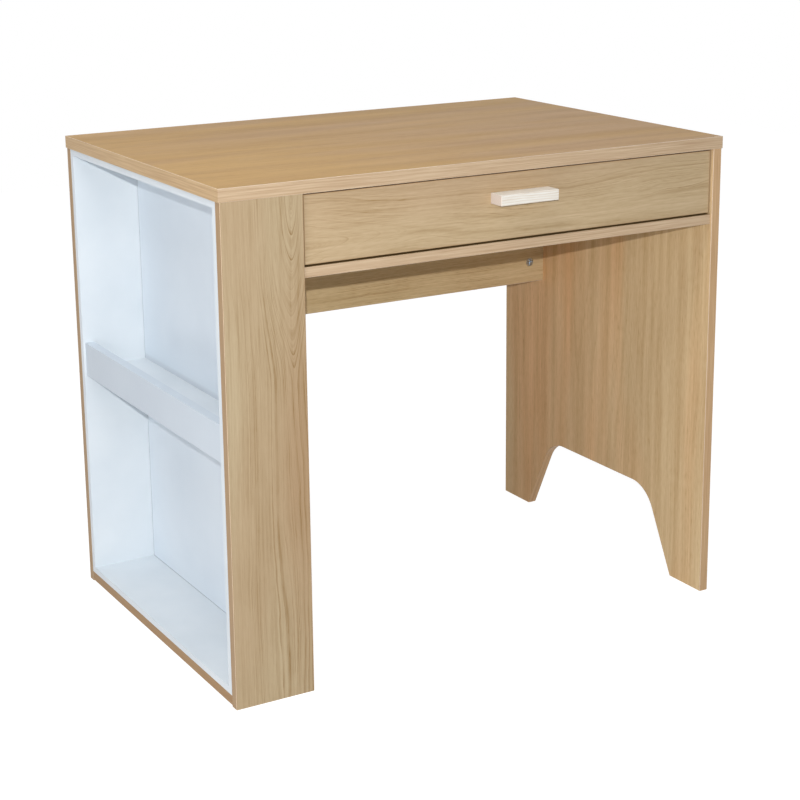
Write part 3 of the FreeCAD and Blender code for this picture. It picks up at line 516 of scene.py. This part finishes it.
@dataclass(frozen=True)
class Speckled(Finish):
    """A plain coat or a bare metal: one colour with a soft cloudiness, a fine grit in its sheen and its surface.

    The sizes of its clouds and its grit are in millimetres. Real grit is finer and is drawn as coarse as it shows.
    """

    colour: str
    cloud: str
    cloud_size: float
    grit_size: float
    roughness: float
    relief: float
    metallic: float = 0.0
    shine: float = 0.5
    sheen: float = 0.12  # how much the roughness varies, as a share of it
    depth: float = 0.1  # of the grit, in millimetres
    joint_shades: tuple[JointShade, ...] = ()

    def paint(self) -> bpy.types.Material:
        """Lay the clouded colour over the fine grit, and draw the dark joint lines and the bands of painted shade.

        Returns:
            The finished material.
        """
        made, tree, surface = self.start()
        place = wire(tree, "TexCoord", out="Object")
        clouds, grit = (
            wire(tree, "TexNoise", place, ports={"Scale": PER_METRE / size, "Detail": detail})
            for size, detail in ((self.cloud_size, 3.0), (self.grit_size, 1.0))
        )
        amount = wire(tree, "MapRange", clouds, *CLOUDED, 0.0, 1.0)
        colour = wire(
            tree, "Mix", amount, ports={FIRST: linear(self.colour), SECOND: linear(self.cloud)}, out=MIXED,
            data_type="RGBA",
        )
        for joint_shade in self.joint_shades:
            scale = tuple(PER_METRE * w for w in joint_shade.axis)
            level = wire(tree, "VectorMath", place, scale, operation="DOT_PRODUCT", out="Value")
            away = wire(tree, "Math", level, joint_shade.at, operation="SUBTRACT")
            away = wire(tree, "Math", away, operation="ABSOLUTE")
            line = wire(tree, "MapRange", away, joint_shade.full * joint_shade.width, joint_shade.gone * joint_shade.width, 1.0, 0.0)
            colour = wire(
                tree, "Mix", line, ports={FIRST: colour, SECOND: linear(joint_shade.colour)}, out=MIXED, data_type="RGBA",
            )
        smooth, rough = (self.roughness * (1.0 + change) for change in (-self.sheen, self.sheen))
        silk = wire(tree, "MapRange", grit, *SPAN, smooth, rough)
        relief = wire(tree, "Bump", ports={"Strength": self.relief, "Distance": self.depth * MM, "Height": grit})
        tree.links.new(colour, surface.inputs["Base Color"])
        tree.links.new(silk, surface.inputs["Roughness"])
        tree.links.new(relief, surface.inputs["Normal"])
        surface.inputs["Metallic"].default_value = self.metallic
        surface.inputs["Specular IOR Level"].default_value = self.shine
        return made


@dataclass(frozen=True)
class SolidWood(Finish):
    """A sawn and sanded bar of pale wood: growth rings through its body, and darker end grain on its ends."""

    light: str
    dark: str
    end: str
    heart_y: float
    heart_z: float
    ring: float
    roughness: float = 0.5
    shine: float = 0.3
    taper: float = 0.02  # how fast the rings change along the bar
    wander: float = 1.6  # how far they wander, in rings
    late: float = 0.35  # the part of a ring where its dark wood starts, where it ends, and how it shows
    late_end: float = 0.95
    late_show: float = 0.6
    fibre_low: float = 0.32
    fibre_high: float = 0.68
    fibre_show: float = 0.45
    relief: float = 0.2
    depth: float = 0.15  # of the fibres, in millimetres

    def paint(self) -> bpy.types.Material:
        """Draw the growth rings and the fibres through the bar.

        Returns:
            The finished material.
        """
        made, tree, surface = self.start()
        place = wire(tree, "TexCoord", out="Object")
        place = wire(tree, "VectorMath", place, (PER_METRE,) * 3, operation="MULTIPLY")
        # The length and width of the rings' wandering and of the fibres, in millimetres. Real fibres are finer
        # than 0.1 mm and are drawn coarser, so that they show.
        sizes = ((60.0, 14.0), (30.0, 1.3))
        wander, fibre = (
            wire(
                tree, "TexNoise", wire(tree, "Mapping", place, ports={"Scale": (1.0 / long, 1.0 / wide, 1.0 / wide)}),
                ports={"Scale": 1.0, "Detail": 2.0},
            )
            for long, wide in sizes
        )
        section = wire(
            tree, "Mapping", place,
            ports={"Location": (0.0, -self.heart_y, -self.heart_z), "Scale": (self.taper, 1.0, 1.0)},
        )
        radius = wire(tree, "VectorMath", section, operation="LENGTH", out="Value")
        years = wire(tree, "Math", radius, 1.0 / self.ring, operation="MULTIPLY")
        years = wire(tree, "Math", wander, self.wander, years, operation="MULTIPLY_ADD")
        age = wire(tree, "Math", years, operation="FRACT")
        late = wire(tree, "MapRange", age, self.late, self.late_end, 0.0, self.late_show)
        shade = wire(tree, "MapRange", fibre, self.fibre_low, self.fibre_high, 0.0, self.fibre_show)
        shade = wire(tree, "Math", shade, late, operation="ADD")
        sides, ends = (
            wire(
                tree, "Mix", shade, ports={FIRST: linear(ground), SECOND: linear(self.dark)}, out=MIXED,
                data_type="RGBA",
            )
            for ground in (self.light, self.end)
        )
        facing = wire(tree, "NewGeometry", out="Normal")
        slope = wire(tree, "VectorMath", facing, X, operation="DOT_PRODUCT", out="Value")
        sawn = wire(tree, "Math", slope, slope, operation="MULTIPLY")
        colour = wire(tree, "Mix", sawn, ports={FIRST: sides, SECOND: ends}, out=MIXED, data_type="RGBA")
        relief = wire(
            tree, "Bump", ports={"Strength": self.relief, "Distance": self.depth * MM, "Height": shade}, invert=True,
        )
        tree.links.new(colour, surface.inputs["Base Color"])
        tree.links.new(relief, surface.inputs["Normal"])
        surface.inputs["Roughness"].default_value = self.roughness
        surface.inputs["Specular IOR Level"].default_value = self.shine
        return made


# Melamine-faced board, white: a cool white with a faint pearl texture from the press plate.
WHITE_MELAMINE = Speckled(
    "white_melamine_board", "#d8dee2", "#d2d9de", cloud_size=90.0, grit_size=2.2, roughness=0.40, relief=0.10,
    shine=0.35,
)
# Foil-wrapped white moulding: greyer than the boards, with a silky, even sheen.
WHITE_FOIL = Speckled(
    "white_foil_moulding", "#c9d2da", "#c4cdd6", cloud_size=120.0, grit_size=2.6, roughness=0.42, relief=0.06,
    shine=0.3,
)
# White lacquered hardboard: a little bluer and smoother than the boards, with a soft sheen.
WHITE_HARDBOARD = Speckled(
    "white_lacquered_hardboard", "#dfe7ee", "#d9e2ea", cloud_size=140.0, grit_size=3.0, roughness=0.36, relief=0.06,
    shine=0.35,
)
# Die-cast zinc: a grey, slightly blue metal with a soft, grainy sheen. Its colour clouds from bright to dark in patches
# a few millimetres across, which paints glints and dark spots on the small cam faces.
DIE_CAST_ZINC = Speckled(
    "die_cast_zinc", "#d3e0ee", "#8f9fb0", cloud_size=3.0, grit_size=0.6, roughness=0.28, relief=0.30, metallic=1.0,
)
# Bright zinc-plated steel: a clear, cool reflection, a little cloudy.
PLATED_STEEL = Speckled(
    "zinc_plated_steel", "#cdd0d2", "#b3b7ba", cloud_size=4.0, grit_size=0.5, roughness=0.26, relief=0.12,
    metallic=1.0,
)
# White stove enamel on folded steel: a smooth, fairly glossy off-white coat.
RUNNER_ENAMEL = Speckled(
    "white_stove_enamel", "#ecebe6", "#e4e2db", cloud_size=30.0, grit_size=1.2, roughness=0.30, relief=0.10,
)
# Moulded nylon: milky white, with a low sheen.
MOULDED_NYLON = Speckled(
    "moulded_nylon", "#efeee8", "#e3e1d8", cloud_size=6.0, grit_size=0.8, roughness=0.42, relief=0.10, shine=0.4,
)
# Turned beech: pale pinkish brown with short fine flecks.
TURNED_BEECH = Speckled(
    "turned_beech", "#dcbf99", "#c7a273", cloud_size=3.0, grit_size=0.7, roughness=0.55, relief=0.25, shine=0.3,
)
# Sanded rubberwood, unstained: nearly cream, a little pink, with fine straight grain.
HANDLE_WOOD = SolidWood(
    "sanded_rubberwood", light="#efede5", dark="#d9ccba", end="#c4b8b5", heart_y=-330.0, heart_z=640.0, ring=3.2,
)


def dress(node: str, finish: Finish) -> None:
    """Give a CAD node its finish, through its own material slots.

    Args:
        node: The node's name.
        finish: What it is covered with.
    """
    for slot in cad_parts[node].material_slots:
        slot.material = finish.material()
    log.info("%s: %s", node, finish.name)


TOP_TONE = Tone("#caa264", "#c8a376", "#966f3e")
FRONT_TONE = Tone("#beac8d", "#ab8b6b", "#8b6f47")
DRAWER_TONE = Tone("#cbb593", "#c5aa8b", "#93774b")
MODESTY_TONE = Tone("#d9c49a", "#d2b696", "#99784a")
# The side sheets are lighter than the front ones: partly their own tone, partly painted light for the light that the
# lamps give these faces too little of.
SIDE_TONE = Tone("#e1caa1", "#eac092", "#a97f4d")


@dataclass
class Worktop:
    """The desk top: one board with a band round its four edges."""

    figure: Figure = Figure(
        heart_along=700.0, heart_across=60.0, reach=-1300.0, rise=60.0, ring=16.0, sway=36.0, streak=44.0,
        ring_show=0.16, streak_show=0.30, fibre_show=0.05, blush=(260.0, 0.0, 560.0, 500.0), stripe=90.0, mottle=0.5,
        seed=3.0,
    )

    def dress(self) -> None:
        """Cover the board and its bands."""
        dress("desk_top", OakLaminate("light_oak_laminate_top", Grain.LEVEL_BOARD, self.figure, TOP_TONE))
        # The band's faces that look left are tinted warmer: painted light, which offsets the cooler light that falls on
        # that side.
        dress("desk_top_edge_bands", OakEdgeBand("oak_edge_band_top", Grain.LEVEL_RIM, turned=LEFT, painted_tint="#f9f1dd"))


@dataclass
class Bookcase:
    """The bookcase at the left end: oak outside, a white lining inside, one shelf with a lip."""

    front_figure: Figure = Figure(
        heart_along=790.0, heart_across=-318.0, reach=-330.0, rise=40.0, spread=60.0, ring=6.2, late=0.50, sway=18.0,
        ripple=4.0, streak=9.0, ring_show=0.74, streak_show=0.11, fibre_show=0.15, fleck_show=0.08, vein=13.0,
        vein_show=0.20, blush=(380.0, -300.0, 420.0, 60.0), seed=11.0,
    )
    rear_figure: Figure = Figure(
        heart_along=0.0, heart_across=-350.0, reach=500.0, rise=40.0, ring=6.0, ring_show=0.50, seed=17.0,
    )
    divider_figure: Figure = Figure(
        heart_along=800.0, heart_across=-60.0, reach=-900.0, rise=50.0, ring=11.0, sway=30.0, ring_show=0.30, seed=23.0,
    )
    bottom_figure: Figure = Figure(
        heart_along=0.0, heart_across=-340.0, ring=7.0, ring_show=0.35, seed=29.0,
    )

    def dress(self) -> None:
        """Cover the boards, their bands and the lining."""
        panels = {
            "bookcase_front_panel": ("front", Grain.UPRIGHT_FRONT, self.front_figure, FRONT_TONE),
            "bookcase_rear_panel": ("rear", Grain.UPRIGHT_FRONT, self.rear_figure, FRONT_TONE),
            "bookcase_divider": ("divider", Grain.UPRIGHT_SIDE, self.divider_figure, SIDE_TONE),
            "bookcase_bottom_panel": ("foot", Grain.LEVEL_BOARD, self.bottom_figure, FRONT_TONE),
        }
        for node, (sheet, *look) in panels.items():
            dress(node, OakLaminate(f"light_oak_laminate_{sheet}", *look))
        upright = OakEdgeBand(
            "oak_edge_band_upright", Grain.UPRIGHT_RIM, light="#ac8f6b", line="#8b6943", arris="#e2d0b6",
        )
        for node in ("bookcase_front_panel_edge_bands", "bookcase_rear_panel_edge_bands"):
            dress(node, upright)
        dress("bookcase_bottom_edge_band", OakEdgeBand(
            "oak_edge_band_foot", Grain.LEVEL_RIM, light="#a38054", line="#865f35", arris="#b4946b",
        ))
        for node in ("lining_front", "lining_rear", "lining_top", "lining_bottom", "bookcase_shelf"):
            dress(node, WHITE_MELAMINE)
        dress("bookcase_shelf_lip", WHITE_FOIL)
        floor, shelf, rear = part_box("lining_bottom")[1].z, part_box("bookcase_shelf")[1].z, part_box("lining_rear")[0].y
        # The floor and the rear corner get thin dark joint lines; the wide band at the shelf is painted shadow, the
        # lip's shadow on the back.
        joint_shades = (JointShade(Z, floor / MM), JointShade(Z, shelf / MM, width=7.0, colour="#ccd3da"), JointShade(Y, rear / MM))
        dress("back_lining", replace(WHITE_HARDBOARD, name="white_lacquered_hardboard_back", joint_shades=joint_shades))


@dataclass
class Kneehole:
    """The bay beside the bookcase: the shelf under the drawer, the modesty panel and the arched side."""

    shelf_figure: Figure = Figure(
        heart_along=-300.0, heart_across=80.0, reach=700.0, rise=40.0, ring=10.0, sway=26.0, ring_show=0.3, seed=31.0,
    )
    modesty_figure: Figure = Figure(
        heart_along=-500.0, heart_across=560.0, reach=900.0, rise=40.0, ring=7.0, ring_show=0.36, seed=37.0,
    )
    side_figure: Figure = Figure(
        heart_along=1000.0, heart_across=60.0, reach=-1200.0, rise=60.0, ring=22.0, sway=30.0, streak=20.0,
        ring_show=0.18, streak_show=0.30, fibre_show=0.15, blush=(320.0, 160.0, 900.0, 320.0), stripe=64.0, mottle=0.34,
        seed=41.0,
    )

    def dress(self) -> None:
        """Cover the boards and their bands."""
        # The drawer hides the shelf's upper face, and the upper faces of the shelf and of its band are painted dark
        # brown: painted shade, which makes the gap under the drawer dark.
        gap_shade = "#aa9c81"
        dress("drawer_shelf", OakLaminate(
            "light_oak_laminate_shelf", Grain.LEVEL_BOARD, self.shelf_figure, MODESTY_TONE, painted_tint=gap_shade,
        ))
        dress("drawer_shelf_edge_band", OakEdgeBand("oak_edge_band_level", Grain.LEVEL_RIM, painted_tint=gap_shade))
        dress("modesty_panel", OakLaminate(
            "light_oak_laminate_modesty", Grain.LEVEL_FRONT, self.modesty_figure, MODESTY_TONE,
        ))
        dress("modesty_panel_edge_band", OakEdgeBand("oak_edge_band_hanging", Grain.HANGING_RIM))
        dress("right_side_panel", OakLaminate(
            "light_oak_laminate_side", Grain.UPRIGHT_SIDE, self.side_figure, SIDE_TONE,
        ))
        dress("side_panel_edge_bands", OakEdgeBand(
            "oak_edge_band_side", Grain.SIDE_RIM, light="#cead85", line="#a88056", arris="#e4d6c4",
        ))
        dress("arch_edge_band", OakEdgeBand(
            "oak_edge_band_arch", Grain.ARCH_RIM, light="#d8b387", line="#a3764c", arris="#f0e2cc",
        ))


@dataclass
class Drawer:
    """The drawer: an oak front with a wooden bar handle on a white box."""

    front_figure: Figure = Figure(
        heart_along=-360.0, heart_across=648.0, reach=260.0, rise=30.0, spread=60.0, ring=8.5, late=0.60, sway=34.0,
        ripple=7.0, streak=8.0, ring_show=0.54, streak_show=0.13, fibre_show=0.21, fleck_show=0.12, vein=23.0,
        vein_show=0.15, blush=(60.0, 720.0, 420.0, 60.0), seed=53.0,
    )

    def dress(self) -> None:
        """Cover the front, the handle and the box."""
        dress("drawer_front", OakLaminate(
            "light_oak_laminate_drawer", Grain.LEVEL_FRONT, self.front_figure, DRAWER_TONE,
        ))
        # The band's colours, its arris's too, are darker than the other bands', and the upper face of the top band is
        # darker still: painted shade for the gaps round the drawer, which gives the gap over the drawer its depth.
        dress("drawer_front_edge_bands", OakEdgeBand(
            "oak_edge_band_drawer", Grain.DRAWER_RIM, light="#b09470", line="#8d6f4c", arris="#a68a64", painted_tint="#c3b7ad",
        ))
        dress("drawer_handle", HANDLE_WOOD)
        for node in ("drawer_side_left", "drawer_side_right", "drawer_back"):
            dress(node, WHITE_MELAMINE)
        dress("drawer_bottom", WHITE_HARDBOARD)


@dataclass
class Runners:
    """The drawer's running gear: folded runners, nylon rollers and their riveted axles."""

    sides: tuple[str, str] = ("left", "right")

    def dress(self) -> None:
        """Cover the runners, the rollers and the axles."""
        for side in self.sides:
            for member in ("cabinet", "drawer"):
                dress(f"{member}_runner_{side}", RUNNER_ENAMEL)
                dress(f"{member}_roller_{side}", MOULDED_NYLON)
        for node in ("cabinet_roller_axles", "drawer_roller_axles", "cabinet_runner_screws", "drawer_runner_screws"):
            dress(node, PLATED_STEEL)


@dataclass
class Fixings:
    """The flat-pack fixings that pull the boards together."""

    zinc: tuple[str, ...] = ("cam_locks", "drawer_cam_locks")
    steel: tuple[str, ...] = ("cam_bolts", "drawer_cam_bolts", "handle_screws", "drawer_box_screws")
    wood: tuple[str, ...] = ("wood_dowels", "shelf_dowels", "drawer_dowels")

    def dress(self) -> None:
        """Cover the locks, the bolts, the screws and the dowels."""
        for nodes, finish in ((self.zinc, DIE_CAST_ZINC), (self.steel, PLATED_STEEL), (self.wood, TURNED_BEECH)):
            for node in nodes:
                dress(node, finish)


@dataclass(frozen=True)
class Lamp:
    """A studio lamp: where it hangs, where it points, its width in metres and its power in watts."""

    name: str
    place: Triple
    target: Triple
    width: float
    power: float
    colour: str = WHITE

    def hang(self) -> None:
        """Put the lamp in the scene."""
        light = bpy.data.lights.new(self.name, "AREA")
        light.shape = "DISK"
        light.size = self.width
        light.energy = self.power
        light.color = linear(self.colour)[:3]
        lamp = bpy.data.objects.new(self.name, light)
        bpy.context.scene.collection.objects.link(lamp)
        lamp.location = self.place
        aim = Vector(self.target) - Vector(self.place)
        lamp.rotation_euler = aim.to_track_quat("-Z", "Y").to_euler()
        log.info("%s: %.0f W", self.name, self.power)


@dataclass
class Studio:
    """A plain pale floor, studio light and the camera at the photograph's angle, in metres, degrees and millimetres."""

    floor_side: float = 8.0
    floor_colour: str = "#e6e6e6"
    floor_seen: str = "#8c8c8c"
    floor_glow: float = 0.94
    fill_colour: str = "#f4f6ff"
    fill: float = 0.24
    lamps: tuple[Lamp, ...] = (
        # The key lamp is narrow and near the camera, for the crisp shadow under the drawer's shelf.
        Lamp("key", (-1.50, -2.62, 1.325), (0.0, 0.0, 0.42), width=0.02, power=50.0),
        Lamp("overhead", (-1.2, -0.6, 2.8), (0.0, 0.0, 0.5), width=1.6, power=33.0),
        Lamp("left", (-3.0, 0.3, 1.2), (0.0, 0.0, 0.4), width=0.8, power=3.0),
        Lamp("front_left", (-2.8, -1.6, 0.9), (0.0, 0.0, 0.4), width=1.2, power=14.0),
    )
    eye: Triple = (-1.40067, -2.44899, 1.16609)
    azimuth: float = -29.915
    elevation: float = 14.147
    roll: float = -0.587
    lens: float = 81.807
    sensor: float = 36.0
    rise: float = -0.1

    def seen(self, tree: bpy.types.NodeTree) -> bpy.types.NodeSocket:
        """Find the rays that see the white background: the camera's, and those by way of metal or glass.

        Args:
            tree: The node tree that needs it.

        Returns:
            A socket that is one for such a ray.
        """
        path = wire(tree, "LightPath").node
        mirrored = wire(
            tree, "Math", path.outputs["Is Glossy Ray"], path.outputs["Is Transmission Ray"], operation="MAXIMUM",
        )
        return wire(tree, "Math", path.outputs["Is Camera Ray"], mirrored, operation="MAXIMUM")

    def lay_floor(self) -> None:
        """Lay the floor, which looks white and still takes the desk's shadow."""
        half = self.floor_side / 2.0
        mesh = bpy.data.meshes.new("floor")
        corners = [(x * half, y * half, 0.0) for x, y in ((-1.0, -1.0), (1.0, -1.0), (1.0, 1.0), (-1.0, 1.0))]
        mesh.from_pydata(corners, [], [(0, 1, 2, 3)])
        floor = bpy.data.objects.new("floor", mesh)
        bpy.context.scene.collection.objects.link(floor)
        paint = bpy.data.materials.new("studio_floor_paint")
        paint.use_nodes = True
        tree = paint.node_tree
        tree.nodes.clear()
        plain = wire(tree, "BsdfDiffuse", linear(self.floor_colour))
        shown = wire(
            tree, "AddShader", wire(tree, "BsdfDiffuse", linear(self.floor_seen)),
            wire(tree, "Emission", linear(WHITE), self.floor_glow),
        )
        wire(tree, "OutputMaterial", wire(tree, "MixShader", self.seen(tree), plain, shown))
        mesh.materials.append(paint)
        log.info("floor: %.1f m square", self.floor_side)

    def light(self) -> None:
        """Hang the lamps and set the even fill of the room."""
        for lamp in self.lamps:
            lamp.hang()
        world = bpy.data.worlds.new("studio")
        bpy.context.scene.world = world
        world.use_nodes = True
        tree = world.node_tree
        tree.nodes.clear()
        even = wire(tree, "Background", linear(self.fill_colour), self.fill)
        white = wire(tree, "Background", linear(WHITE), 1.0)
        wire(tree, "OutputWorld", wire(tree, "MixShader", self.seen(tree), even, white))

    def set_camera(self) -> None:
        """Put the camera where the photograph was taken from."""
        around, up = math.radians(self.azimuth), math.radians(self.elevation)
        back = Vector((math.sin(around) * math.cos(up), -math.cos(around) * math.cos(up), math.sin(up)))
        turn = (-back).to_track_quat("-Z", "Y").to_matrix() @ Matrix.Rotation(math.radians(self.roll), 3, "Z")
        data = bpy.data.cameras.new("camera")
        data.lens = self.lens
        data.sensor_width = self.sensor
        data.shift_y = self.rise  # part of the shift that keeps the photograph's uprights upright
        camera = bpy.data.objects.new("camera", data)
        bpy.context.scene.collection.objects.link(camera)
        camera.matrix_world = Matrix.Translation(self.eye) @ turn.to_4x4()
        bpy.context.scene.camera = camera

    def build(self) -> None:
        """Set up the whole studio."""
        self.lay_floor()
        self.light()
        self.set_camera()
        bpy.context.scene.view_settings.view_transform = "Standard"


def main() -> None:
    """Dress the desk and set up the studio."""
    logging.basicConfig(level=logging.INFO, format="%(message)s")
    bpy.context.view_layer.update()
    for part in (Worktop(), Bookcase(), Kneehole(), Drawer(), Runners(), Fixings()):
        log.info("dressing the %s", type(part).__name__.lower())
        part.dress()
    Studio().build()


if __name__ == "__main__":
    main()
